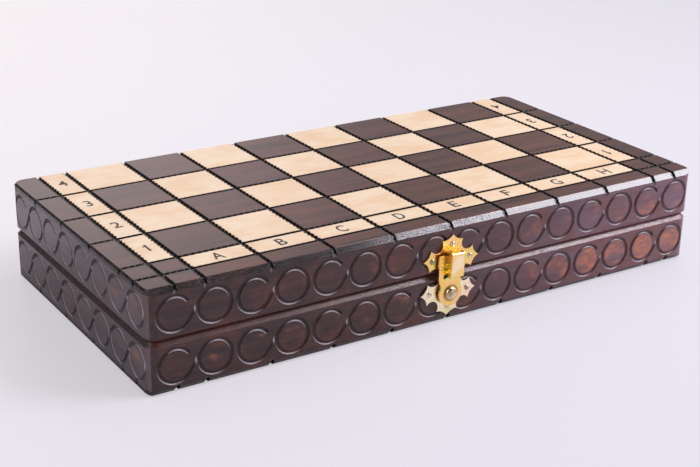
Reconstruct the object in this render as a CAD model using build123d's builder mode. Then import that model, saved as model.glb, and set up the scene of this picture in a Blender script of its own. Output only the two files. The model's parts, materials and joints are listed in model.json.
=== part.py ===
# Folding chess box: two shallow wooden halves hinged at the back, closed by a swinging hook latch.
# Millimetres, +Z up, front towards -Y. Origin at the bottom centre of the closed box, latch and hinges included.
import os
from math import acos, cos, degrees, radians, sin, sqrt, tan

from build123d import *

os.makedirs("parts", exist_ok=True)

# Board
square = 35.0
files = 8
ranks_per_half = 4
label_strip = 15.5
border = 14.5
column_line_width = 2.3
row_line_width = 1.8
line_depth = 1.0
tile_thickness = 0.8
tile_drop = 0.1

# Wooden halves
half_height = 27.0
board_thickness = 6.0
wall_thickness = 9.0
corner_radius = 6.0
front_chamfer = 2.6
face_chamfer = 1.0
rim_chamfer = 2.0
rim_gap = 0.2

# Carved scrolls on the four sides
scroll_radius = 8.7
carving_radius = 1.05
scroll_end_margin = 13.5
pairs_on_long_side = 8
pairs_on_short_side = 4
scroll_start_angle = 40.0
scroll_end_angle = 172.0

# Butt hinges
hinge_centre_x = 110.0
hinge_length = 30.0
leaf_width = 7.2
leaf_thickness = 0.9
knuckle_radius = 1.6
hinge_pin_radius = 0.8
hinge_setback = 0.15
knuckle_gap = 0.2
relief_clearance = 0.3
leaf_nail_spacing = 11.0
leaf_nail_inset = 4.6
leaf_nail_radius = 0.6
leaf_nail_head_radius = 1.2
leaf_nail_length = 8.0

# Latch
sheet = 0.9
keeper_x = -0.4
keeper_above_rim = 8.0
keeper_turn = 2.9
rivet_x = -1.5
rivet_below_rim = 10.0
hook_plate_turn = 1.8
pin_reach = 12.0
pin_rise = 8.0
pin_radius = 0.6
pin_head_radius = 1.45
pin_head_height = 0.9
pin_length = 6.0
keeper_width = 8.0
keeper_drop = 8.3
keeper_rise = 5.2
keeper_reach = 7.2
keeper_bend = 1.0
keeper_inner_bend = 0.4
keeper_tab = 1.8
hook_thickness = 1.0
hook_standoff = 2.2
hook_disc_radius = 7.1
hook_waist_x = 6.1
hook_waist_y = 4.5
hook_shoulder_y = 8.4
hook_spine_x = -7.9
hook_spine_width = 2.9
hook_jaw_x = 4.2
hook_height = 21.2
hook_corner = 0.7
rivet_radius = 1.5
rivet_head_radius = 3.5
rivet_head_height = 1.7
rivet_grip = 5.0
washer_radius = 4.2
dome_share = 0.9

# Fits
hole_clearance = 0.05
running_clearance = 0.08
face_clearance = 0.1
swing_clearance = 0.3

# Sizes that follow
length = files * square + 2 * (label_strip + border)
depth = ranks_per_half * square + label_strip + border
centre_y = (keeper_reach - hinge_setback - knuckle_radius) / 2
front_y = centre_y - depth / 2
back_y = centre_y + depth / 2
left_x = -length / 2
wall_height = half_height - board_thickness - rim_gap / 2
hinge_y = back_y + hinge_setback
washer_thickness = hook_standoff - sheet - face_clearance
first_line_x = left_x + border
first_line_y = front_y + border


def save(piece, name):
    piece.part.label = name
    export_step(piece.part, f"parts/{name}.step")


def level(up, above_rim):
    """Height of a plane given by its distance from the parting plane, in the lid (up=1) or the base (up=-1)."""
    return half_height + up * above_rim


# Centre lines of the burnt lines: across the label strip, then one for each square
def line_places(start, squares, strips):
    grid_start = start + label_strip
    places = [start] + [grid_start + i * square for i in range(squares + 1)]
    if strips == 2:
        places.append(places[-1] + label_strip)
    return places


column_lines = line_places(first_line_x, files, 2)
row_lines = line_places(first_line_y, ranks_per_half - 1, 1)


def cell_centres(up, kind):
    """Centres of the pale cells of one half: its light squares, or its labels at the front or the sides."""
    x_of = [first_line_x + label_strip + (i + 0.5) * square for i in range(files)]
    y_of = [first_line_y + label_strip + (k + 0.5) * square for k in range(ranks_per_half)]
    if kind == "squares":
        light = 1 if up == 1 else 0
        return [(x, y) for i, x in enumerate(x_of) for k, y in enumerate(y_of) if (i + k) % 2 == light]
    if kind == "front_labels":
        return [(x, first_line_y + label_strip / 2) for x in x_of]
    return [(side * (first_line_x + label_strip / 2), y) for side in (1, -1) for y in y_of]


def cell_sketch(up, kinds, drop=0.0):
    """Outlines of pale cells between the burnt lines, at a depth under the playing face of one half."""
    size = {
        "squares": (square - column_line_width, square - row_line_width),
        "front_labels": (square - column_line_width, label_strip - row_line_width),
        "side_labels": (label_strip - column_line_width, square - row_line_width),
    }
    with BuildSketch(Plane.XY.offset(level(up, half_height - drop))) as cells:
        for kind in kinds:
            with Locations(*cell_centres(up, kind)):
                Rectangle(*size[kind])
    return cells.sketch


def line_section(low, low_chamfer, high, high_chamfer, up):
    """Section along a burnt line that keeps its depth over the flat face and down both chamfers."""
    face = level(up, half_height)
    turn = line_depth * tan(radians(22.5))
    end = line_depth * sqrt(2) + 1
    return [
        (low - 1, face - up * (low_chamfer + end)),
        (low + low_chamfer + turn, face - up * line_depth),
        (high - high_chamfer - turn, face - up * line_depth),
        (high + 1, face - up * (high_chamfer + end)),
        (high + 1, face + up),
        (low - 1, face + up),
    ]


# Carved pair of scrolls: from inside the first circle, round it, up the diagonal and round the second
def scroll_pair(pitch):
    lean = degrees(acos(2 * scroll_radius / pitch))
    first, second = (-pitch / 2, 0), (pitch / 2, 0)
    with BuildPart() as cutter:
        with BuildLine() as leading:
            turn = CenterArc(first, scroll_radius, scroll_start_angle, 360 - lean - scroll_start_angle)
            reach = PolarLocations(scroll_radius, 1, 180 - lean).local_locations[0].position
            Line(turn @ 1, Vector(*second) + reach)
            CenterArc(second, scroll_radius, 180 - lean, lean - 180)
        with BuildSketch(Plane(leading.wire() @ 0, z_dir=leading.wire() % 0)):
            Circle(carving_radius)
        sweep(path=leading.wire())
        with BuildLine() as closing:
            CenterArc(second, scroll_radius, 0, scroll_end_angle - 360)
        with BuildSketch(Plane(closing.wire() @ 0, z_dir=closing.wire() % 0)):
            Circle(carving_radius)
        sweep(path=closing.wire())
        with Locations(leading.wire() @ 0, closing.wire() @ 1):
            Sphere(carving_radius)
    return cutter.part


long_pitch = (length - 2 * scroll_end_margin) / (2 * pairs_on_long_side - 1)
short_pitch = (depth - 2 * scroll_end_margin) / (2 * pairs_on_short_side - 1)
long_scroll = scroll_pair(long_pitch)
short_scroll = scroll_pair(short_pitch)


def side_plane(side, up):
    """Plane on the outside of one wall, midway between its two chamfers; x runs right as seen from outside."""
    height = level(up, (rim_gap / 2 + rim_chamfer + half_height - front_chamfer) / 2)
    outward, across = {
        "front": ((0, -1, 0), (1, 0, 0)),
        "back": ((0, 1, 0), (-1, 0, 0)),
        "left": ((-1, 0, 0), (0, -1, 0)),
        "right": ((1, 0, 0), (0, 1, 0)),
    }[side]
    reach = depth / 2 if side in ("front", "back") else length / 2
    return Plane(Vector(0, centre_y, height) + Vector(*outward) * reach, x_dir=across, z_dir=outward)


def carve(side, up):
    """Cut the running scrolls of one side out of the part being built."""
    long_side = side in ("front", "back")
    scroll = long_scroll if long_side else short_scroll
    pitch = long_pitch if long_side else short_pitch
    pairs = pairs_on_long_side if long_side else pairs_on_short_side
    with Locations(side_plane(side, up).location):
        with GridLocations(2 * pitch, 0, pairs, 1):
            add(scroll, mode=Mode.SUBTRACT)


# Ring of walls before it is mitred into four
def wall_ring(up):
    with BuildPart() as ring:
        with BuildSketch(Plane.XY.offset(level(up, rim_gap / 2))):
            with Locations((0, centre_y)):
                RectangleRounded(length, depth, corner_radius)
                Rectangle(length - 2 * wall_thickness, depth - 2 * wall_thickness, mode=Mode.SUBTRACT)
        extrude(amount=up * wall_height)
        rim = ring.faces().filter_by(Axis.Z).sort_by(Axis.Z)[0 if up == 1 else -1]
        chamfer(rim.outer_wire().edges(), rim_chamfer)
    return ring.part


def mitre_outline(side):
    """Plan of one wall with its mitred ends."""
    x, t = length / 2, wall_thickness
    front_left, front_right = (-x, front_y), (x, front_y)
    back_left, back_right = (-x, back_y), (x, back_y)
    inner_front_left, inner_front_right = (-x + t, front_y + t), (x - t, front_y + t)
    inner_back_left, inner_back_right = (-x + t, back_y - t), (x - t, back_y - t)
    return {
        "front": [front_left, front_right, inner_front_right, inner_front_left],
        "back": [back_right, back_left, inner_back_left, inner_back_right],
        "left": [back_left, front_left, inner_front_left, inner_back_left],
        "right": [front_right, back_right, inner_back_right, inner_front_right],
    }[side]


def hinge_mortise(up, centre_x):
    """Cut the seat of one leaf, the relief round its knuckles and the holes of its nails."""
    seat = level(up, rim_gap / 2)
    seat_length = hinge_length + 2 * face_clearance
    with BuildSketch(Plane.XY.offset(seat)) as leaf_seat:
        with Locations((centre_x, hinge_y - leaf_width - face_clearance)):
            Rectangle(seat_length, leaf_width + 1, align=(Align.CENTER, Align.MIN))
    extrude(leaf_seat.sketch, amount=up * leaf_thickness, mode=Mode.SUBTRACT)
    with Locations((centre_x, hinge_y, half_height)):
        Cylinder(
            knuckle_radius + relief_clearance,
            hinge_length + 2 * relief_clearance,
            rotation=(0, 90, 0),
            mode=Mode.SUBTRACT,
        )
    with BuildSketch(Plane.XY.offset(seat)) as nail_holes:
        with Locations((centre_x, hinge_y - leaf_nail_inset)):
            with GridLocations(leaf_nail_spacing, 0, 3, 1):
                Circle(leaf_nail_radius + hole_clearance)
    extrude(nail_holes.sketch, amount=up * leaf_nail_length, mode=Mode.SUBTRACT)


def latch_pin_places(up):
    """Pins of one latch plate in its own plane: the two side lobes and the outer lobe."""
    return [(-pin_reach, 0), (pin_reach, 0), (0, up * pin_rise)]


def front_plane(x, height, standoff, turn=0.0):
    """Plane parallel to the front, turned clockwise as seen from outside."""
    across = (cos(radians(turn)), 0, -sin(radians(turn)))
    return Plane((x, front_y - standoff, height), x_dir=across, z_dir=(0, -1, 0))


def plate_plane(up, standoff):
    """Plane of one latch plate, centred between its side lobes. Both plates sit a little turned."""
    if up == 1:
        return front_plane(keeper_x, level(up, keeper_above_rim), standoff, keeper_turn)
    return front_plane(rivet_x, level(up, rivet_below_rim), standoff, hook_plate_turn)


def rivet_plane(standoff):
    """Upright plane centred on the rivet, where the closed hook lies."""
    return front_plane(rivet_x, level(-1, rivet_below_rim), standoff)


def latch_holes(up):
    """Cut the holes for the pins of one plate, and for the rivet in the base, into the front wall."""
    with BuildSketch(plate_plane(up, 0)) as pin_holes:
        with Locations(*latch_pin_places(up)):
            Circle(pin_radius + hole_clearance)
    extrude(pin_holes.sketch, amount=-pin_length, mode=Mode.SUBTRACT)
    if up == -1:
        with BuildSketch(rivet_plane(0)) as rivet_hole:
            Circle(rivet_radius + hole_clearance)
        extrude(rivet_hole.sketch, amount=-rivet_grip, mode=Mode.SUBTRACT)


def build_half(half, up):
    """The wooden pieces of the lid or the base."""
    ring = wall_ring(up)
    for side in ("front", "back", "left", "right"):
        with BuildPart() as wall:
            add(ring)
            with BuildSketch():
                Polygon(*mitre_outline(side), align=None)
            extrude(amount=2 * half_height, mode=Mode.INTERSECT)
            carve(side, up)
            if side == "back":
                hinge_mortise(up, -hinge_centre_x)
                hinge_mortise(up, hinge_centre_x)
            if side == "front":
                latch_holes(up)
        save(wall, f"{half}_{side}_wall")

    with BuildPart() as blank:
        with BuildSketch(Plane.XY.offset(level(up, half_height - board_thickness))):
            with Locations((0, centre_y)):
                RectangleRounded(length, depth, corner_radius)
        extrude(amount=up * board_thickness)
        playing_face = blank.faces().filter_by(Axis.Z).sort_by(Axis.Z)[-1 if up == 1 else 0]
        chamfer(playing_face.outer_wire().edges(), face_chamfer)
        face = level(up, half_height)
        with BuildSketch(Plane.YZ):
            Polygon(
                (front_y, face - up * front_chamfer),
                (front_y + front_chamfer, face),
                (front_y + front_chamfer, face + up),
                (front_y - 1, face + up),
                (front_y - 1, face - up * front_chamfer),
                align=None,
            )
        extrude(amount=length / 2, both=True, mode=Mode.SUBTRACT)

    with BuildPart() as board:
        add(blank)
        for x in column_lines:
            with BuildSketch(Plane.YZ.offset(x)):
                Polygon(*line_section(front_y, front_chamfer, back_y, face_chamfer, up), align=None)
            extrude(amount=column_line_width / 2, both=True, mode=Mode.SUBTRACT)
        for y in row_lines:
            with BuildSketch(Plane.XZ.offset(-y)):
                Polygon(*line_section(left_x, face_chamfer, -left_x, face_chamfer, up), align=None)
            extrude(amount=row_line_width / 2, both=True, mode=Mode.SUBTRACT)
        pale_cells = cell_sketch(up, ["squares", "front_labels", "side_labels"])
        extrude(pale_cells, amount=-up * (tile_drop + tile_thickness), mode=Mode.SUBTRACT)
        for side in ("front", "back", "left", "right"):
            carve(side, up)
    save(board, f"{half}_board")

    for name, kinds in (("light_squares", ["squares"]), ("label_tiles", ["front_labels", "side_labels"])):
        with BuildPart() as tiles:
            extrude(cell_sketch(up, kinds, tile_drop), amount=-up * tile_thickness)
            add(blank, mode=Mode.INTERSECT)
        save(tiles, f"{half}_{name}")


# Hinge leaf with its knuckles: two outer ones on the base, the middle one on the lid
knuckle_pitch = hinge_length / 3


def hinge_leaf(up, centre_x):
    own = [0] if up == 1 else [-knuckle_pitch, knuckle_pitch]
    other = [-knuckle_pitch, knuckle_pitch] if up == 1 else [0]
    face = level(up, rim_gap / 2)
    clearance = running_clearance if up == 1 else hole_clearance
    with BuildPart() as leaf:
        with BuildSketch(Plane.XY.offset(face)):
            with Locations((centre_x, hinge_y - leaf_width)):
                Rectangle(hinge_length, leaf_width, align=(Align.CENTER, Align.MIN))
        extrude(amount=up * leaf_thickness)
        with Locations(*[(centre_x + x, hinge_y, half_height) for x in other]):
            Cylinder(
                knuckle_radius + relief_clearance,
                knuckle_pitch + knuckle_gap,
                rotation=(0, 90, 0),
                mode=Mode.SUBTRACT,
            )
        with Locations(*[(centre_x + x, hinge_y, half_height) for x in own]):
            Cylinder(knuckle_radius, knuckle_pitch - knuckle_gap, rotation=(0, 90, 0))
        with Locations((centre_x, hinge_y, half_height)):
            Cylinder(
                hinge_pin_radius + clearance,
                hinge_length + 1,
                rotation=(0, 90, 0),
                mode=Mode.SUBTRACT,
            )
        nail_seat = Plane((centre_x, hinge_y - leaf_nail_inset, face), z_dir=(0, 0, -up))
        with Locations(nail_seat.location):
            with GridLocations(leaf_nail_spacing, 0, 3, 1):
                CounterSinkHole(
                    leaf_nail_radius + hole_clearance,
                    leaf_nail_head_radius + hole_clearance,
                    leaf_thickness,
                )
    return leaf


def hinge_pin(centre_x):
    with BuildPart() as pin:
        with Locations((centre_x, hinge_y, half_height)):
            Cylinder(hinge_pin_radius, hinge_length, rotation=(0, 90, 0))
    return pin


def leaf_nails(up):
    """Countersunk nails of both leaves on one half."""
    cone = leaf_nail_head_radius - leaf_nail_radius
    with BuildPart(mode=Mode.PRIVATE) as nail:
        with BuildSketch(Plane.XZ):
            Polygon(
                (0, 0),
                (leaf_nail_head_radius, 0),
                (leaf_nail_radius, -cone),
                (leaf_nail_radius, -leaf_nail_length + leaf_nail_radius),
                (0, -leaf_nail_length),
                align=None,
            )
        revolve(axis=Axis.Z)
    with BuildPart() as nails:
        for centre_x in (-hinge_centre_x, hinge_centre_x):
            seat = Plane((centre_x, hinge_y - leaf_nail_inset, level(up, rim_gap / 2)), z_dir=(0, 0, -up))
            with Locations(seat.location):
                with GridLocations(leaf_nail_spacing, 0, 3, 1):
                    add(nail.part)
    return nails


# Outline of a latch plate: three lobes with pointed tips joined by hollow curves, straight on the inner side
def plate_outline(up):
    tips = [(0, 13.3), (6.6, 10.2), (13.1, 5.9), (17.4, 0.1), (13.2, -5.7), (5.6, -7.4)]
    hollows = [(3.1, 10.9), (7.4, 4.9), (14.4, 2.4), (14.3, -2.5), (9.0, -4.4)]
    with BuildSketch(plate_plane(up, 0)) as outline:
        with BuildLine():
            for side in (1, -1):
                for start, middle, end in zip(tips, hollows, tips[1:]):
                    ThreePointArc(*[(side * x, up * y) for x, y in (start, middle, end)])
            Line(*[(side * tips[-1][0], up * tips[-1][1]) for side in (1, -1)])
        make_face()
    return outline.sketch


def latch_plate(up):
    with BuildPart() as plate:
        extrude(plate_outline(up), amount=sheet)
        with BuildSketch(plate_plane(up, 0)):
            with Locations(*latch_pin_places(up)):
                Circle(pin_radius + hole_clearance)
            if up == -1:
                Circle(rivet_radius + hole_clearance)
        extrude(amount=sheet, mode=Mode.SUBTRACT)
        if up == 1:
            keeper_loop()
    return plate


def keeper_loop():
    """Bridge bent out of a tab below the upper plate, open at its left and right for the hook."""
    plate = plate_plane(1, 0)
    with BuildSketch(Plane(plate.origin, x_dir=plate.z_dir, z_dir=-plate.x_dir)) as bridge:
        with BuildLine():
            FilletPolyline(
                (sheet, keeper_rise),
                (keeper_reach, keeper_rise),
                (keeper_reach, -keeper_drop),
                (0, -keeper_drop),
                radius=keeper_bend,
            )
            Polyline(
                (0, -keeper_drop),
                (0, keeper_tab - keeper_drop),
                (sheet, keeper_tab - keeper_drop),
                (sheet, sheet - keeper_drop),
            )
            FilletPolyline(
                (sheet, sheet - keeper_drop),
                (keeper_reach - sheet, sheet - keeper_drop),
                (keeper_reach - sheet, keeper_rise - sheet),
                (sheet, keeper_rise - sheet),
                radius=keeper_inner_bend,
            )
            Line((sheet, keeper_rise - sheet), (sheet, keeper_rise))
        make_face()
    extrude(bridge.sketch, amount=keeper_width / 2, both=True)


def latch_pins(up):
    """Domed pins that hold one latch plate to the wood."""
    with BuildPart() as pins:
        with BuildSketch(plate_plane(up, sheet)):
            with Locations(*latch_pin_places(up)):
                Circle(pin_head_radius)
        extrude(amount=pin_head_height)
        rims = pins.edges().group_by(Axis.Y)[0]
        fillet(rims, pin_head_height * dome_share)
        with BuildSketch(plate_plane(up, sheet)):
            with Locations(*latch_pin_places(up)):
                Circle(pin_radius)
        extrude(amount=-pin_length)
    return pins


def latch_washer():
    with BuildPart() as washer:
        with BuildSketch(rivet_plane(sheet)):
            Circle(washer_radius)
            Circle(rivet_radius + hole_clearance, mode=Mode.SUBTRACT)
        extrude(amount=washer_thickness)
    return washer


def latch_rivet():
    head_base = hook_standoff + hook_thickness + face_clearance
    with BuildPart() as rivet:
        with BuildSketch(rivet_plane(head_base)):
            Circle(rivet_head_radius)
        extrude(amount=rivet_head_height)
        fillet(rivet.edges().group_by(Axis.Y)[0], rivet_head_height * dome_share)
        with BuildSketch(rivet_plane(head_base)):
            Circle(rivet_radius)
        extrude(amount=-head_base - rivet_grip)
    return rivet


def reach_from_rivet(x, y):
    """Distance from the rivet's axis to a point given in the keeper plate's plane."""
    return rivet_plane(0).to_local_coords(plate_plane(1, 0).from_local_coords((x, y))).length


# Hook: a disc on the rivet, a spine at the left of the keeper and a jaw behind its bridge.
# The slot between them is part of a ring round the rivet, so the hook swings off to the left.
def latch_hook():
    sides = [-keeper_width / 2 + i * keeper_width / 8 for i in range(9)]
    slot_inner = min(reach_from_rivet(x, -keeper_drop) for x in sides) - swing_clearance
    slot_outer = max(reach_from_rivet(x, sheet - keeper_drop) for x in sides) + swing_clearance
    shoulder = slot_inner / sqrt(2)
    with BuildPart() as hook:
        with BuildSketch(rivet_plane(hook_standoff)):
            Polygon(
                (-hook_waist_x, 0),
                (-hook_waist_x, hook_waist_y),
                (hook_spine_x, hook_shoulder_y),
                (hook_spine_x, hook_height),
                (hook_jaw_x, hook_height),
                (hook_jaw_x, slot_inner),
                (shoulder, shoulder),
                (hook_waist_x, hook_waist_y),
                (hook_waist_x, 0),
                align=None,
            )
            Circle(hook_disc_radius)
            with BuildSketch(mode=Mode.PRIVATE) as slot:
                Circle(slot_outer)
                Circle(slot_inner, mode=Mode.SUBTRACT)
                with Locations((hook_spine_x + hook_spine_width, 0)):
                    Rectangle(
                        2 * slot_outer, slot_outer, align=(Align.MIN, Align.MIN), mode=Mode.INTERSECT
                    )
            add(slot.sketch, mode=Mode.SUBTRACT)
            Circle(rivet_radius + running_clearance, mode=Mode.SUBTRACT)
        extrude(amount=hook_thickness)
        uprights = hook.edges().filter_by(GeomType.LINE).filter_by(Axis.Y)
        fillet(uprights, hook_corner)
    return hook


build_half("lid", 1)
build_half("base", -1)

for hand, centre in (("left", -hinge_centre_x), ("right", hinge_centre_x)):
    save(hinge_leaf(1, centre), f"{hand}_hinge_lid_leaf")
    save(hinge_leaf(-1, centre), f"{hand}_hinge_base_leaf")
    save(hinge_pin(centre), f"{hand}_hinge_pin")
save(leaf_nails(1), "lid_hinge_nails")
save(leaf_nails(-1), "base_hinge_nails")

save(latch_plate(1), "latch_keeper_plate")
save(latch_plate(-1), "latch_hook_plate")
save(latch_pins(1), "keeper_plate_pins")
save(latch_pins(-1), "hook_plate_pins")
save(latch_washer(), "latch_washer")
save(latch_rivet(), "latch_rivet")
save(latch_hook(), "latch_hook")
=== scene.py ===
import json
import math

import bpy
from mathutils import Matrix, Vector


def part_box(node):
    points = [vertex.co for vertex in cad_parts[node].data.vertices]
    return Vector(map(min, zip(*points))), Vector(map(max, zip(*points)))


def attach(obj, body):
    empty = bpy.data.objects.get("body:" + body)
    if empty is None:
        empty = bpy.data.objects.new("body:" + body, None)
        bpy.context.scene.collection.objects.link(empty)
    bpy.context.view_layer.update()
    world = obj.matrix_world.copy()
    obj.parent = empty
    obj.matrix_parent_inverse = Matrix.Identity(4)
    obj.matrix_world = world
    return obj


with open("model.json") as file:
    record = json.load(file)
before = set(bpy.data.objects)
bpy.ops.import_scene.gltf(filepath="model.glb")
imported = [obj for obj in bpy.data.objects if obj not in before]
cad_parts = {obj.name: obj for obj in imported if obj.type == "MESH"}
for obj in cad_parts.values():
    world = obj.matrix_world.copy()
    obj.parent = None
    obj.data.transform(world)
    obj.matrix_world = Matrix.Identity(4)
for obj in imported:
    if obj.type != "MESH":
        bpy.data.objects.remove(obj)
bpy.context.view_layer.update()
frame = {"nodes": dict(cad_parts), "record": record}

mm = 0.001

# Places of the box that the finishes and the letters follow, in millimetres
box = {
    "square": 35.0,
    "labelStrip": 15.5,
    "rimLevel": 27.0,
    "wall": 9.0,
    "boardThickness": 6.0,
    "cornerRadius": 6.0,
    "scrollRadius": 8.7,
    "scrollEndMargin": 13.5,
    "scrollShift": 0.25,
    "longScrolls": 16,
    "shortScrolls": 8,
    # Distances from the rim's level, up into the lid and down into the base
    "carvedFrom": 2.2,
    "rimEdgeTo": 2.4,
    "wallTo": 24.2,
    "sideTo": 25,
    # Depths below the outline of the walls
    "wallSkin": 2.0,
    "rimEdgeSkin": 3.5,
}
boardLow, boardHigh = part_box("lid_board")
box["length"] = (boardHigh.x - boardLow.x) / mm
box["depth"] = (boardHigh.y - boardLow.y) / mm
box["centreY"] = (boardHigh.y + boardLow.y) / 2 / mm
box["top"] = boardHigh.z / mm
box["tileTop"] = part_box("lid_label_tiles")[1].z / mm
print("frame loaded, box", box["length"], "by", box["depth"], "mm")

# Camera
camera = {
    "place": (-0.41124, -0.617025, 0.31617),
    "turn": 33.15,
    "lookDown": 21.79,
    "roll": 1.205,
    "lens": 73.2,
    "nearest": 0.05,
    "farthest": 50,
}
bpy.ops.object.select_all(action="DESELECT")
bpy.ops.object.camera_add(location=camera["place"])
view = bpy.context.object
view.name = "camera"
turned = (
    Matrix.Rotation(math.radians(-camera["turn"]), 3, "Z")
    @ Matrix.Rotation(math.radians(90 - camera["lookDown"]), 3, "X")
    @ Matrix.Rotation(math.radians(camera["roll"]), 3, "Z")
)
view.rotation_euler = turned.to_euler()
view.data.lens = camera["lens"]
view.data.clip_start = camera["nearest"]
view.data.clip_end = camera["farthest"]
bpy.context.scene.camera = view
print("camera placed")


class Value:
    # A number in a finish, so that sums can be written as sums
    def __init__(self, finish, socket):
        self.finish = finish
        self.socket = socket

    def __add__(self, other):
        return self.finish.math("ADD", self, other)

    def __radd__(self, other):
        return self.finish.math("ADD", other, self)

    def __sub__(self, other):
        return self.finish.math("SUBTRACT", self, other)

    def __rsub__(self, other):
        return self.finish.math("SUBTRACT", other, self)

    def __mul__(self, other):
        return self.finish.math("MULTIPLY", self, other)

    def __rmul__(self, other):
        return self.finish.math("MULTIPLY", other, self)

    def __truediv__(self, other):
        return self.finish.math("DIVIDE", self, other)

    def __rtruediv__(self, other):
        return self.finish.math("DIVIDE", other, self)

    def __neg__(self):
        return self.finish.math("MULTIPLY", self, -1.0)

    def __abs__(self):
        return self.finish.math("ABSOLUTE", self)

    def __gt__(self, other):
        return self.finish.math("GREATER_THAN", self, other)

    def __lt__(self, other):
        return self.finish.math("LESS_THAN", self, other)

    def beside(self, output):
        # Another output of the same node
        return Value(self.finish, self.socket.node.outputs[output])


class Finish:
    # The nodes of a new material, or those of a tree that is there already
    def __init__(self, name=None, tree=None):
        self.tree = tree
        if tree:
            return
        self.material = bpy.data.materials.new(name)
        self.material.use_nodes = True
        self.tree = self.material.node_tree
        self.tree.nodes.clear()
        surface = self.node("ShaderNodeBsdfPrincipled")
        self.shader = surface.socket.node
        self.show(surface)

    def show(self, surface):
        for old in [n for n in self.tree.nodes if n.bl_idname == "ShaderNodeOutputMaterial"]:
            self.tree.nodes.remove(old)
        self.node("ShaderNodeOutputMaterial", None, {"Surface": surface}, None)

    def feed(self, socket, value):
        if isinstance(value, Value):
            self.tree.links.new(value.socket, socket)
        elif isinstance(value, tuple) and len(value) == 3 and socket.type == "RGBA":
            socket.default_value = (*value, 1.0)
        else:
            socket.default_value = value

    def node(self, kind, settings=None, inputs=None, output=0):
        added = self.tree.nodes.new(kind)
        for name, value in (settings or {}).items():
            setattr(added, name, value)
        for name, value in (inputs or {}).items():
            self.feed(added.inputs[name], value)
        if output is not None:
            return Value(self, added.outputs[output])

    def math(self, operation, *values):
        return self.node("ShaderNodeMath", {"operation": operation}, dict(enumerate(values)))

    def larger(self, first, second):
        return self.math("MAXIMUM", first, second)

    def smaller(self, first, second):
        return self.math("MINIMUM", first, second)

    def rise(self, value, low, high):
        # 0 below low, 1 above high, smooth between
        return self.node(
            "ShaderNodeMapRange",
            {"interpolation_type": "SMOOTHSTEP"},
            {"Value": value, "From Min": low, "From Max": high},
        )

    def vector(self, x, y, z):
        return self.node("ShaderNodeCombineXYZ", None, {0: x, 1: y, 2: z})

    def noise(self, x, y, z, detail=2.0, roughness=0.5):
        inputs = {"Vector": self.vector(x, y, z), "Scale": 1.0}
        inputs.update({"Detail": detail, "Roughness": roughness})
        return self.node("ShaderNodeTexNoise", None, inputs)

    def chance(self, x, y, z):
        # A number between 0 and 1 for each place, the same in every run
        return self.node("ShaderNodeTexWhiteNoise", None, {"Vector": self.vector(x, y, z)})

    def blend(self, share, first, second):
        return self.node("ShaderNodeMix", {"data_type": "RGBA"}, {0: share, 6: first, 7: second}, 2)

    def places(self):
        # Object coordinates in millimetres, with y counted from the middle of the box
        spot = self.node("ShaderNodeTexCoord", output="Object")
        scaled = self.node(
            "ShaderNodeVectorMath", {"operation": "SCALE"}, {0: spot, "Scale": 1 / mm}
        )
        x = self.node("ShaderNodeSeparateXYZ", None, {0: scaled})
        return x, x.beside(1) - box["centreY"], x.beside(2)

    def bump(self, height, distance, under=None):
        inputs = {"Height": height, "Strength": 1.0, "Distance": distance * mm}
        if under:
            inputs["Normal"] = under
        return self.node("ShaderNodeBump", None, inputs)

    def set(self, **values):
        for name, value in values.items():
            words = "".join(" " + letter if letter.isupper() else letter for letter in name)
            socket = self.shader.inputs[words[0].upper() + words[1:].replace("I O R", "IOR")]
            self.feed(socket, value)


# The burnt lines between the squares, pressed in with a toothed wheel
burntLines = {
    "columnHalf": 1.17,
    "columnTooth": 0.62,
    "rowHalf": 1.10,
    "rowTooth": 0.20,
    "toothPitch": 3.5,
    "toothLean": 0.35,
    "soft": 0.14,
    "ridgeReach": 0.3,
    "haloReach": 3.4,
    "faceDepth": 4.2,
    "backMargin": 5,
}


def burntMasks(finish, x, y, z):
    square = box["square"]
    firstRow = box["depth"] / 2 - 4 * square
    stripEdge = 4 * square + box["labelStrip"]
    frontEdge = firstRow - box["labelStrip"]
    columns = finish.smaller(finish.math("PINGPONG", x, square / 2), abs(abs(x) - stripEdge))
    # No line runs along the hinge side
    backEdge = (y > box["depth"] / 2 - burntLines["backMargin"]) * 20
    rows = finish.smaller(
        finish.math("PINGPONG", y - firstRow, square / 2) + backEdge, abs(y - frontEdge)
    )
    wander = finish.noise(x * 0.35, y * 0.35, 0.0, 1.0)
    faces = abs(z - box["rimLevel"]) > box["rimLevel"] - burntLines["faceDepth"]
    masks, ridges = [], []
    for distance, along, half, teeth in (
        (columns, y, burntLines["columnHalf"], burntLines["columnTooth"]),
        (rows, x, burntLines["rowHalf"], burntLines["rowTooth"]),
    ):
        pitch = burntLines["toothPitch"]
        beat = finish.math("PINGPONG", along + distance * burntLines["toothLean"], pitch / 2)
        tooth = finish.rise(beat, pitch * 0.18, pitch * 0.36)
        reach = half + tooth * teeth * (wander * 1.5 + 0.1)
        masks.append(finish.rise(reach - distance, -burntLines["soft"], burntLines["soft"]))
        nearLine = distance < half + burntLines["ridgeReach"]
        ridges.append((1.0 - finish.rise(beat, 0.25, 0.95)) * nearLine)
    burnt = finish.larger(masks[0], masks[1]) * faces
    ridge = finish.larger(ridges[0], ridges[1]) * faces
    nearest = finish.smaller(columns, rows)
    halo = finish.rise(burntLines["haloReach"] - nearest, 0.0, 3.0) * faces
    return burnt, ridge, halo


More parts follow.
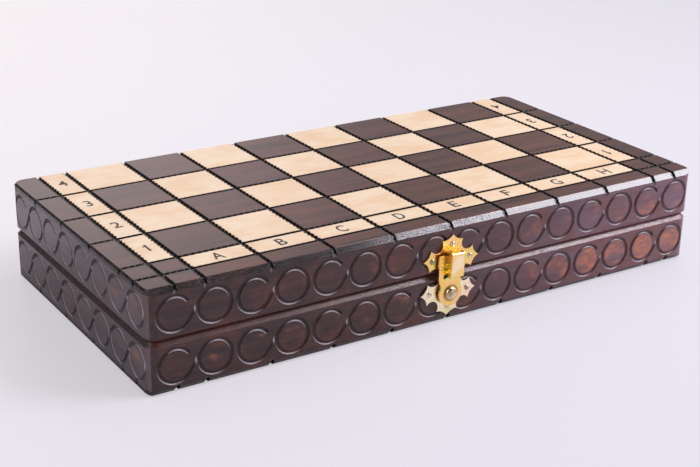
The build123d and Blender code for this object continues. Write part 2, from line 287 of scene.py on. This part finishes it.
# Stained and lacquered wood of the walls and boards
stainedWood = {
    "dark": (0.0170, 0.0080, 0.0078),
    "mid": (0.0560, 0.0180, 0.0145),
    "red": (0.1350, 0.0330, 0.0160),
    "topMid": (0.1400, 0.0520, 0.0340),
    "black": (0.0090, 0.0070, 0.0080),
    "rosy": (0.2250, 0.1300, 0.1650),
    "hazy": (0.1900, 0.1600, 0.1700),
    "worn": (0.4500, 0.1450, 0.0700),
    "burnt": (0.0050, 0.0042, 0.0042),
    "ridge": (0.1900, 0.1450, 0.1350),
    "insideDark": (0.0600, 0.0270, 0.0180),
    "insideLight": (0.1700, 0.0850, 0.0530),
    "rubbedRim": (0.4500, 0.4000, 0.4300),
    "roughness": 0.15,
    "wornFrom": 0.69,
    "wornTo": 1.00,
    "wornLuck": 0.13,
    "fibreHeight": 0.010,
    "peelHeight": 0.020,
    "speckleHeight": 0.070,
    "ridgeHeight": 0.40,
}


def depthBelowOutline(finish, farX, farY):
    # How deep a point lies below the outline of the walls, round corners included
    overX = farX - (box["length"] / 2 - box["cornerRadius"])
    overY = farY - (box["depth"] / 2 - box["cornerRadius"])
    cornerX, cornerY = finish.larger(overX, 0.0), finish.larger(overY, 0.0)
    return (
        box["cornerRadius"]
        - finish.math("SQRT", cornerX * cornerX + cornerY * cornerY)
        - finish.smaller(finish.larger(overX, overY), 0.0)
    )


def scrollPlaces(finish, along, side, level):
    # The number of the scroll circle that a point is nearest to, and the way from its middle
    longPitch = (box["length"] - 2 * box["scrollEndMargin"]) / (box["longScrolls"] - 1)
    shortPitch = (box["depth"] - 2 * box["scrollEndMargin"]) / (box["shortScrolls"] - 1)
    pitch = longPitch + side * (shortPitch - longPitch)
    cell = finish.math("FLOOR", along / pitch)
    local = along - (cell + 0.5) * pitch
    upright = level - box["rimLevel"] / 2 + box["scrollShift"]
    return cell, local, upright, finish.math("SQRT", local * local + upright * upright)


def makeStainedWood():
    w = stainedWood
    f = Finish("stainedWood")
    x, y, z = f.places()
    halfLength, halfDepth = box["length"] / 2, box["depth"] / 2
    level = abs(z - box["rimLevel"])
    farX, farY = abs(x), abs(y)
    inward = depthBelowOutline(f, farX, farY)
    # The grain runs along x, and along y on the walls at the two ends
    boardInside = (inward > box["wall"] + 0.05) * (level > 20.0)
    side = (farX - farY > halfLength - halfDepth) * (level < box["sideTo"]) * (1.0 - boardInside)
    along = x + (y - x) * side
    across = y + (x - y) * side

    # Grain and blotches, with scales per millimetre
    broad = f.noise(along * 0.011, across * 0.11, z * 0.11, 3.0, 0.55)
    streak = f.noise(along * 0.035, across * 0.75 + 40, z * 0.75, 4.0, 0.6)
    fibre = f.noise(along * 0.13, across * 3.2, z * 3.2, 3.0, 0.6)
    mottle = f.noise(x * 0.06, y * 0.06, z * 0.06 + 9, 3.0, 0.6)
    toneOfSquare = f.chance(
        f.math("FLOOR", x / box["square"]),
        f.math("FLOOR", (y - halfDepth) / box["square"]),
        z > box["rimLevel"],
    )

    # Parts of the box
    wallFace = (level < box["wallTo"]) * (inward < box["wallSkin"])
    carvedBand = wallFace * (level > box["carvedFrom"])
    carved = f.rise(inward, 0.08, 0.45) * carvedBand
    boardFrom = box["rimLevel"] - box["boardThickness"]
    inside = (inward > box["wall"] - 0.4) * (level < boardFrom + 0.4)
    rimEdge = (level < box["rimEdgeTo"]) * (inward < box["rimEdgeSkin"])
    playing = level > box["wallTo"]
    faceEdge = playing * f.rise(box["top"] / 2 - level, 0.02, 0.3)

    # Worn patches inside the scroll circles, more of them at the right and on the base
    cell, local, upright, radial = scrollPlaces(f, along, side, level)
    disc = 1.0 - f.rise(radial, box["scrollRadius"] - 2.2, box["scrollRadius"] - 0.7)
    lower = z < box["rimLevel"]
    frontFace = y < -(halfDepth - box["wallSkin"])
    luck = f.chance(cell, lower * 3 + side * 5 + (x > 0) * 7, frontFace * 11)
    rightward = f.rise(x, -halfLength, halfLength)
    rightSheen = frontFace * f.rise(x, -50.0, halfLength * 1.2)
    farRight = rightward * rightward
    onFront = frontFace * (farRight * 0.24 + lower * (0.05 + farRight * farRight * 0.17) - 0.10)
    onSide = side * (f.rise(-y, 30.0, halfDepth) * 0.20 - 0.12)
    rub = f.noise(along * 0.060, across * 0.11, z * 0.11 + 17, 3.0, 0.55)
    low = 0.06 - (upright - local * 0.4) * 0.011
    wear = rub + luck * w["wornLuck"] + low + onFront + onSide
    patch = f.rise(wear, w["wornFrom"], w["wornTo"]) * disc * wallFace
    edgeRub = f.rise(rub + onFront, 0.50, 0.80) * (1.0 - disc) * wallFace

    # Stain, with a rosy painted sheen towards the right of the front and a hazy painted sheen on
    # the end walls
    tone = f.rise(broad * 0.5 + streak * 0.5, 0.30, 0.68)
    colour = f.blend(tone, w["dark"], f.blend(playing, w["mid"], w["topMid"]))
    border = f.larger(farX - box["square"] * 4, farY - box["square"] * 2) > box["labelStrip"]
    colour = f.blend(rightSheen * (0.50 + tone * 0.50), colour, w["rosy"])
    colour = f.blend(side * (0.35 + tone * 0.30), colour, w["hazy"])
    colour = f.blend(border * playing * 0.50, colour, w["dark"])
    colour = f.blend(f.rise(mottle + streak * 0.35, 0.62, 0.92) * 0.55, colour, w["red"])
    colour = f.blend(toneOfSquare * 0.30 * playing, colour, w["dark"])
    colour = f.blend(edgeRub * 0.45, colour, w["red"])
    spots = f.rise(f.noise(along * 0.20, across * 0.34, z * 0.34 + 5, 3.0, 0.6), 0.38, 0.62)
    colour = f.blend(patch * (0.36 + spots * 0.58), colour, w["worn"])
    plainTone = f.rise(broad * 0.35 + streak * 0.65, 0.32, 0.68)
    plain = f.blend(plainTone, w["insideDark"], w["insideLight"])
    colour = f.blend(inside * 0.92, colour, plain)
    colour = f.blend(f.rise(fibre, 0.52, 0.72) * 0.30, colour, w["dark"])
    # The carved grooves are darkened as painted shade
    colour = f.blend(carved * 0.45, colour, w["dark"])

    # The lip of the carving is lightened, partly as wear and partly as painted highlight, and the
    # flanks that face up and to the right get a painted highlight
    peel = f.noise(x * 0.9, y * 0.9, z * 0.9, 2.0)
    lip = f.rise(inward, 0.04, 0.14) * (1.0 - f.rise(inward, 0.22, 0.50)) * carvedBand
    skyward = upright - upright * lower * 2
    flank = (local * (0.6 - side * 1.3) + skyward * 0.8) / f.larger(radial, 1.0)
    paintedLight = f.rise(flank * (box["scrollRadius"] - radial), 0.25, 0.70) * carved
    lip = lip * f.rise(peel + luck * 0.3, 0.45, 0.80) * 0.45
    paintedLight = paintedLight * (0.60 + peel * 0.45 + side * 0.25)
    colour = f.blend(f.larger(lip, paintedLight), colour, w["rubbedRim"])
    colour = f.blend(faceEdge * 0.80, colour, w["black"])
    colour = f.blend(rimEdge * 0.22, colour, w["red"])
    # The rim chamfers on the end walls are darkened as painted shade
    colour = f.blend(rimEdge * side * 0.60, colour, w["dark"])
    burnt, ridge = burntMasks(f, x, y, z)[:2]
    colour = f.blend(burnt, colour, w["burnt"])
    # The ridges between the burnt pits are lighter, partly as bare wood and partly as a painted
    # glint
    colour = f.blend(burnt * ridge * 0.7, colour, w["ridge"])

    # Relief and gloss
    speckle = f.rise(f.noise(x * 1.5, y * 1.5, z * 1.5, 3.0, 0.7), 0.54, 0.66)
    calm = 1.0 - faceEdge * 0.90
    surface = f.bump(fibre * calm, w["fibreHeight"])
    surface = f.bump((peel + streak * 0.5) * calm, w["peelHeight"], surface)
    leftward = 1.0 - f.rise(x, -70.0, 60.0)
    speckled = speckle * (rimEdge * 1.2 + faceEdge * leftward * 1.5 + 0.15)
    surface = f.bump(speckled, w["speckleHeight"], surface)
    surface = f.bump(ridge + speckle * burnt * 0.4, w["ridgeHeight"], surface)
    roughness = w["roughness"] + inside * 0.30 + burnt * 0.12 + rimEdge * 0.08
    roughness = roughness + fibre * calm * 0.10 - faceEdge * 0.05 + carved * 0.18

    f.set(baseColor=colour, roughness=roughness, specularIORLevel=0.5, normal=surface)
    return f.material


# Pale wood of the light squares and the label strips
paleWood = {
    "light": (0.890, 0.722, 0.510),
    "peach": (0.820, 0.560, 0.325),
    "amber": (0.640, 0.385, 0.190),
    "scorched": (0.270, 0.125, 0.050),
    "burnt": (0.0075, 0.0060, 0.0055),
    "roughness": 0.20,
    "peelHeight": 0.015,
}


def makePaleWood():
    w = paleWood
    f = Finish("paleWood")
    x, y, z = f.places()
    square = box["square"]
    column = f.math("FLOOR", x / square)
    row = f.math("FLOOR", (y - box["depth"] / 2) / square)
    half = z > box["rimLevel"]
    luck = f.chance(column, row, half)
    shift = luck * 37.0
    broad = f.noise(x * 0.016 + shift, y * 0.07, half + shift, 3.0, 0.55)
    cloud = f.noise(x * 0.035 + shift, y * 0.06 - shift, half, 2.0, 0.6)
    fibre = f.noise(x * 0.09, y * 2.4, shift, 4.0, 0.6)
    rings = f.math("SINE", (broad * 5.0 + x * 0.004 + cloud * 2.2) * 9.0)
    colour = f.blend(f.rise(cloud, 0.36, 0.70) * 0.75, w["light"], w["peach"])
    colour = f.blend(f.rise(rings, 0.2, 1.0) * 0.22, colour, w["peach"])
    colour = f.blend(f.rise(fibre, 0.50, 0.80) * 0.20, colour, w["amber"])
    colour = f.blend(luck * 0.22, colour, w["peach"])
    burnt, _, halo = burntMasks(f, x, y, z)
    colour = f.blend(halo * halo * 0.22, colour, w["scorched"])
    colour = f.blend(burnt, colour, w["burnt"])
    peel = f.noise(x * 0.8, y * 0.8, z * 0.8, 2.0)
    f.set(
        baseColor=colour,
        roughness=w["roughness"] + fibre * 0.12 + burnt * 0.2,
        specularIORLevel=0.4,
        normal=f.bump(peel + fibre * 0.6, w["peelHeight"]),
    )
    return f.material


# Burnt-in letters and numbers
burntInk = {
    "black": (0.020, 0.016, 0.016),
    "brown": (0.075, 0.055, 0.048),
    "roughness": 0.35,
    "grainHeight": 0.02,
}


def makeInk():
    w = burntInk
    f = Finish("burntInk")
    x, y, z = f.places()
    grain = f.noise(x * 0.6, y * 3.0, z * 0.5, 3.0, 0.6)
    f.set(
        baseColor=f.blend(f.rise(grain, 0.35, 0.75), w["black"], w["brown"]),
        roughness=w["roughness"] + grain * 0.2,
        normal=f.bump(grain, w["grainHeight"]),
    )
    return f.material


# Stamped sheet of the latch and the hinges, plated yellow; the plating differs from piece to piece
yellowPlate = {
    "gold": (0.990, 0.650, 0.190),
    "orange": (1.000, 0.600, 0.180),
    "pink": (1.000, 0.640, 0.430),
    "pale": (1.000, 0.900, 0.620),
    "green": (0.720, 0.760, 0.210),
    "shade": (0.300, 0.190, 0.060),
    "roughness": 0.20,
    "scratchHeight": 0.014,
    # The hump of the keeper and the hollow under it
    "humpBelowRim": 2.6,
    "humpHalf": 4.4,
    "hollowTop": 18.0,
    "hollowDepth": 5.0,
    # Radii between which a painted shade ring lies round the rivet
    "ringInner": (3.4, 3.7),
    "ringOuter": (4.3, 5.0),
}
# Main tint, second tint, share of the second and where its pattern starts
plateTints = {
    "latch_keeper_plate": ("gold", "orange", 0.60, 3.0),
    "latch_hook_plate": ("pale", "pink", 0.45, 11.0),
    "latch_hook": ("orange", "gold", 0.60, 24.0),
}


def makeYellowPlate(name="yellowPlate", base="gold", second="pink", share=0.5, start=0.0):
    w = yellowPlate
    f = Finish(name)
    x, y, z = f.places()
    cloud = f.noise(x * 0.13 + start, y * 0.13, z * 0.13, 2.0, 0.5)
    drift = f.noise(x * 0.17 - start, y * 0.17, z * 0.17, 2.0, 0.5)
    fine = f.noise(x * 1.4, y * 1.4, z * 1.4, 4.0, 0.65)
    colour = f.blend(f.rise(cloud, 0.44, 0.60) * share, w[base], w[second])
    colour = f.blend(f.rise(drift, 0.55, 0.68) * 0.6, colour, w["green"])
    colour = f.blend(f.rise(drift, 0.50, 0.36) * 0.35, colour, w["pink"])
    colour = f.blend(f.rise(fine, 0.60, 0.80) * 0.20, colour, w["shade"])
    lowPoint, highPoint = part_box("latch_rivet")
    middle = (lowPoint + highPoint) / 2 / mm
    offX, offZ = x - middle.x, z - middle.z
    ring = f.math("SQRT", offX * offX + offZ * offZ)
    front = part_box("latch_keeper_plate")[0].y / mm - box["centreY"] + 1.0
    hump = (z > box["rimLevel"] - w["humpBelowRim"]) * (abs(offX) < w["humpHalf"])
    hollow = hump * (z < middle.z + w["hollowTop"])
    hollow = hollow * (y > front) * (y < front + w["hollowDepth"])
    # The inside of the hollow under the hump is tinted olive as painted shade
    colour = f.blend(hollow * 0.7, colour, w["green"])
    # The outside of the hump is paler in patches as a painted highlight
    colour = f.blend(hump * (y < front) * f.rise(cloud, 0.40, 0.60) * 0.7, colour, w["pale"])
    # A ring round the rivet is darkened as painted shade
    paintedLight = f.rise(ring, *w["ringInner"]) * (1.0 - f.rise(ring, *w["ringOuter"])) * (y < 0)
    colour = f.blend(paintedLight * 0.75, colour, w["shade"])
    brushed = f.noise(x * 0.5, y * 0.5, z * 5.0, 2.0, 0.5)
    f.set(
        baseColor=colour,
        metallic=1.0,
        roughness=w["roughness"] + fine * 0.16 + paintedLight * 0.15,
        normal=f.bump(fine + brushed * 0.4, w["scratchHeight"]),
    )
    return f.material


# Plain metals: light shade, dark shade and roughness
metals = {
    "satinBrass": ((0.850, 0.640, 0.300), (0.640, 0.430, 0.170), 0.24),
    "brightSteel": ((0.740, 0.690, 0.560), (0.300, 0.270, 0.190), 0.10),
    "platedRivet": ((0.860, 0.740, 0.500), (0.340, 0.250, 0.130), 0.08),
}


def makeMetal(name):
    light, dark, roughness = metals[name]
    f = Finish(name)
    x, y, z = f.places()
    fine = f.noise(x * 1.8, y * 1.8, z * 1.8, 4.0, 0.65)
    cloud = f.noise(x * 0.25, y * 0.25, z * 0.25, 2.0, 0.5)
    f.set(
        baseColor=f.blend(f.rise(fine * 0.4 + cloud * 0.6, 0.40, 0.62), light, dark),
        metallic=1.0,
        roughness=roughness + fine * 0.15,
        normal=f.bump(fine, 0.010),
    )
    return f.material


finishes = {
    "stained_wood": makeStainedWood(),
    "pale_wood": makePaleWood(),
    "yellow_plated_steel": makeYellowPlate(),
    "brass": makeMetal("satinBrass"),
    "steel": makeMetal("brightSteel"),
}
ink = makeInk()
print("finishes made:", ", ".join(finishes))

# Each carried-over node takes the finish of its slot; the latch has platings of its own
slotOfNode = {entry["node"]: entry["material_slot"] for entry in frame["record"]["subparts"]}
for name, piece in frame["nodes"].items():
    finish = finishes[slotOfNode[name]]
    if name in plateTints:
        ownName = name.replace("_", " ").title().replace(" ", "")
        finish = makeYellowPlate(ownName, *plateTints[name])
    if name == "latch_rivet":
        finish = makeMetal("platedRivet")
    if not piece.material_slots:
        piece.data.materials.append(finish)
    for slot in piece.material_slots:
        slot.material = finish
print("nodes finished:", len(frame["nodes"]))

# Letters and numbers of the files and ranks, in millimetres
lettering = {
    "height": 7.7,
    "capitalShare": 0.69,
    "digitShare": 0.9,
    "stroke": 0.17,
    "thickness": 0.05,
    "curveSteps": 6,
    # Off the head of the 1; in and down count in radii of the flag
    "flagWidth": 1.30,
    "flagAway": 2.3,
    "flagSlant": 38,
    "flagIn": 0.6,
    "flagDown": 1.1,
    "flagSides": 20,
    "files": "ABCDEFGH",
    "widths": {"A": 5.9, "B": 4.8, "C": 5.3, "D": 5.4, "E": 4.7, "F": 4.5, "G": 6.0, "H": 6.2},
}


def addFlag(stem):
    # A small flat disc off the head of the 1, which stands in for its slanting stroke
    right, head = (max(point.co[i] for point in stem.data.vertices) for i in range(2))
    radius = lettering["flagWidth"] / 2 * mm
    bpy.ops.mesh.primitive_cylinder_add(
        vertices=lettering["flagSides"], radius=radius, depth=lettering["thickness"] * mm
    )
    flag = bpy.context.object
    start = (right - radius * lettering["flagIn"], head - radius * lettering["flagDown"], 0)
    flag.data.transform(
        Matrix.Translation(start)
        @ Matrix.Rotation(math.radians(lettering["flagSlant"]), 4, "Z")
        @ Matrix.Translation((-lettering["flagAway"] * mm, 0, 0))
    )
    stem.select_set(True)
    bpy.context.view_layer.objects.active = stem
    bpy.ops.object.join()


def letter(word, x, y, turn, underneath):
    bpy.ops.object.select_all(action="DESELECT")
    bpy.ops.object.text_add()
    sign = bpy.context.object
    sign.data.body = word
    sign.data.size = lettering["height"] / lettering["capitalShare"] * mm
    sign.data.offset = lettering["stroke"] * mm
    sign.data.extrude = lettering["thickness"] / 2 * mm
    sign.data.resolution_u = lettering["curveSteps"]
    sign.data.align_x = "CENTER"
    bpy.ops.object.convert(target="MESH")
    sign = bpy.context.object
    if word == "1":
        addFlag(sign)
    middle = sum((Vector(corner) for corner in sign.bound_box), Vector()) / 8
    width = (sign.bound_box[4][0] - sign.bound_box[0][0]) / mm
    narrow = lettering["widths"].get(word, width * lettering["digitShare"]) / width
    height = box["top"] - box["tileTop"] if underneath else box["tileTop"]
    flip = Matrix.Rotation(math.pi, 4, "X") if underneath else Matrix.Identity(4)
    place = Vector((x, y + box["centreY"], height)) * mm
    sign.data.transform(
        Matrix.Translation(place)
        @ flip
        @ Matrix.Rotation(math.radians(turn), 4, "Z")
        @ Matrix.Diagonal((narrow, 1, 1, 1))
        @ Matrix.Translation(-middle)
    )
    return sign


def joinPieces(pieces, name, body, finish):
    bpy.ops.object.select_all(action="DESELECT")
    for piece in pieces:
        piece.select_set(True)
    bpy.context.view_layer.objects.active = pieces[0]
    bpy.ops.object.join()
    joined = bpy.context.object
    joined.name = name
    joined.data.name = name
    joined.data.materials.clear()
    joined.data.materials.append(finish)
    bpy.ops.object.select_all(action="DESELECT")
    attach(joined, body)


square = box["square"]
stripX = 4 * square + box["labelStrip"] / 2
stripY = box["depth"] / 2 - 4 * square - box["labelStrip"] / 2
for body, underneath in (("lid", False), ("base", True)):
    files, ranks = [], []
    turn = 180 if underneath else 0
    for i, word in enumerate(lettering["files"]):
        files.append(letter(word, (i - 3.5) * square, stripY, turn, underneath))
    for k in range(4):
        y = box["depth"] / 2 - (3.5 - k) * square
        word = str(8 - k if underneath else k + 1)
        ranks.append(letter(word, -stripX, y, 0, underneath))
        ranks.append(letter(word, stripX, y, 180, underneath))
    joinPieces(files, body + "FileLetters", body, ink)
    joinPieces(ranks, body + "RankNumbers", body, ink)
    print("letters and numbers on the", body)

# Floor, lamps and surroundings
studio = {
    "floorRadius": 4.0,
    "floorLevel": -0.0002,
    "floorSides": 96,
    "floorRoughness": 0.32,
    "floorGlow": 0.60,
    # The floor goes from its near to its far colour along this way; the darker near colour and
    # paler far colour are painted light
    "floorWay": (-0.66, 0.87),
    "floorFade": (-0.45, 0.75),
    "floorNear": (0.742, 0.730, 0.800),
    "floorFar": (0.985, 0.945, 0.948),
    "aim": (0, 0, 0.03),
    "keyPlace": (1.61, -0.83, 1.57),
    "keySize": 0.82,
    "keyPower": 30.0,
    "lampColour": (0.95, 0.915, 1.0),
    "fillPlace": (0.58, -0.62, 0.68),
    "fillSize": 0.30,
    "fillPower": 3.0,
    "overheadPlace": (0.42, 0.07, 0.60),
    "overheadSize": 0.50,
    "overheadPower": 1.25,
    "ambient": (0.490, 0.480, 0.515),
    "beyond": (0.900, 0.880, 0.900),
    "dimRoom": (0.150, 0.140, 0.150),
    # Side wall, backdrop, window and lamp: colour, way to it, cosines of its edge
    "patches": [
        ((0.440, 0.390, 0.400), (0.62, 0.68, 0.38), (0.78, 0.94)),
        ((1.450, 1.290, 1.300), (0.20, 0.91, 0.36), (0.925, 0.995)),
        ((2.600, 2.500, 2.700), (0.90, -0.14, 0.42), (0.88, 0.94)),
        ((2.600, 2.500, 2.700), (-0.86, -0.05, 0.50), (0.86, 0.94)),
    ],
}
bpy.ops.mesh.primitive_circle_add(
    vertices=studio["floorSides"],
    radius=studio["floorRadius"],
    fill_type="NGON",
    location=(0, 0, studio["floorLevel"]),
)
floor = bpy.context.object
floor.name = "floor"
f = Finish("paleFloor")
spot = f.node("ShaderNodeTexCoord", output="Object")
x = f.node("ShaderNodeSeparateXYZ", None, {0: spot})
# The floor is painted darker near and paler far, as painted light
deep = x.beside(1) * studio["floorWay"][1] + x * studio["floorWay"][0]
fade = f.rise(deep, *studio["floorFade"])
floorColour = f.blend(fade, studio["floorNear"], studio["floorFar"])
f.set(baseColor=floorColour, roughness=studio["floorRoughness"], specularIORLevel=0.15)
# Part of the floor is seen at its own colour, so that the shadow on it stays light
plain = f.node("ShaderNodeEmission", None, {"Color": floorColour})
seen = f.node("ShaderNodeLightPath", output="Is Camera Ray")
lit = Value(f, f.shader.outputs[0])
f.show(f.node("ShaderNodeMixShader", None, {0: seen * studio["floorGlow"], 1: lit, 2: plain}))
floor.data.materials.append(f.material)

for name in ("key", "fill", "overhead"):
    bpy.ops.object.light_add(type="AREA", location=studio[name + "Place"])
    lamp = bpy.context.object
    lamp.name = name
    lamp.data.shape = "SQUARE"
    lamp.data.size = studio[name + "Size"]
    lamp.data.energy = studio[name + "Power"]
    lamp.data.color = studio["lampColour"]
    towards = Vector(studio["aim"]) - lamp.location
    lamp.rotation_euler = towards.to_track_quat("-Z", "Y").to_euler()

# Even light all round; gloss sees a pale backdrop behind the box and a dim room elsewhere
world = bpy.data.worlds.new("surroundings")
bpy.context.scene.world = world
world.use_nodes = True
sky = Finish(tree=world.node_tree)
background = world.node_tree.nodes["Background"]
seen = sky.node("ShaderNodeLightPath", output="Is Camera Ray")
gloss = seen.beside("Is Glossy Ray")
way = sky.node("ShaderNodeTexCoord", output="Generated")
mirrored = studio["dimRoom"]
for colour, patchWay, edge in studio["patches"]:
    facing = sky.node(
        "ShaderNodeVectorMath",
        {"operation": "DOT_PRODUCT"},
        {0: way, 1: tuple(Vector(patchWay).normalized())},
        "Value",
    )
    mirrored = sky.blend(sky.rise(facing, *edge), mirrored, colour)
shade = sky.blend(gloss, studio["ambient"], mirrored)
shade = sky.blend(seen, shade, studio["beyond"])
sky.feed(background.inputs["Color"], shade)
background.inputs["Strength"].default_value = 1.0
bpy.context.scene.view_settings.view_transform = "Standard"
print("floor and lamps placed")
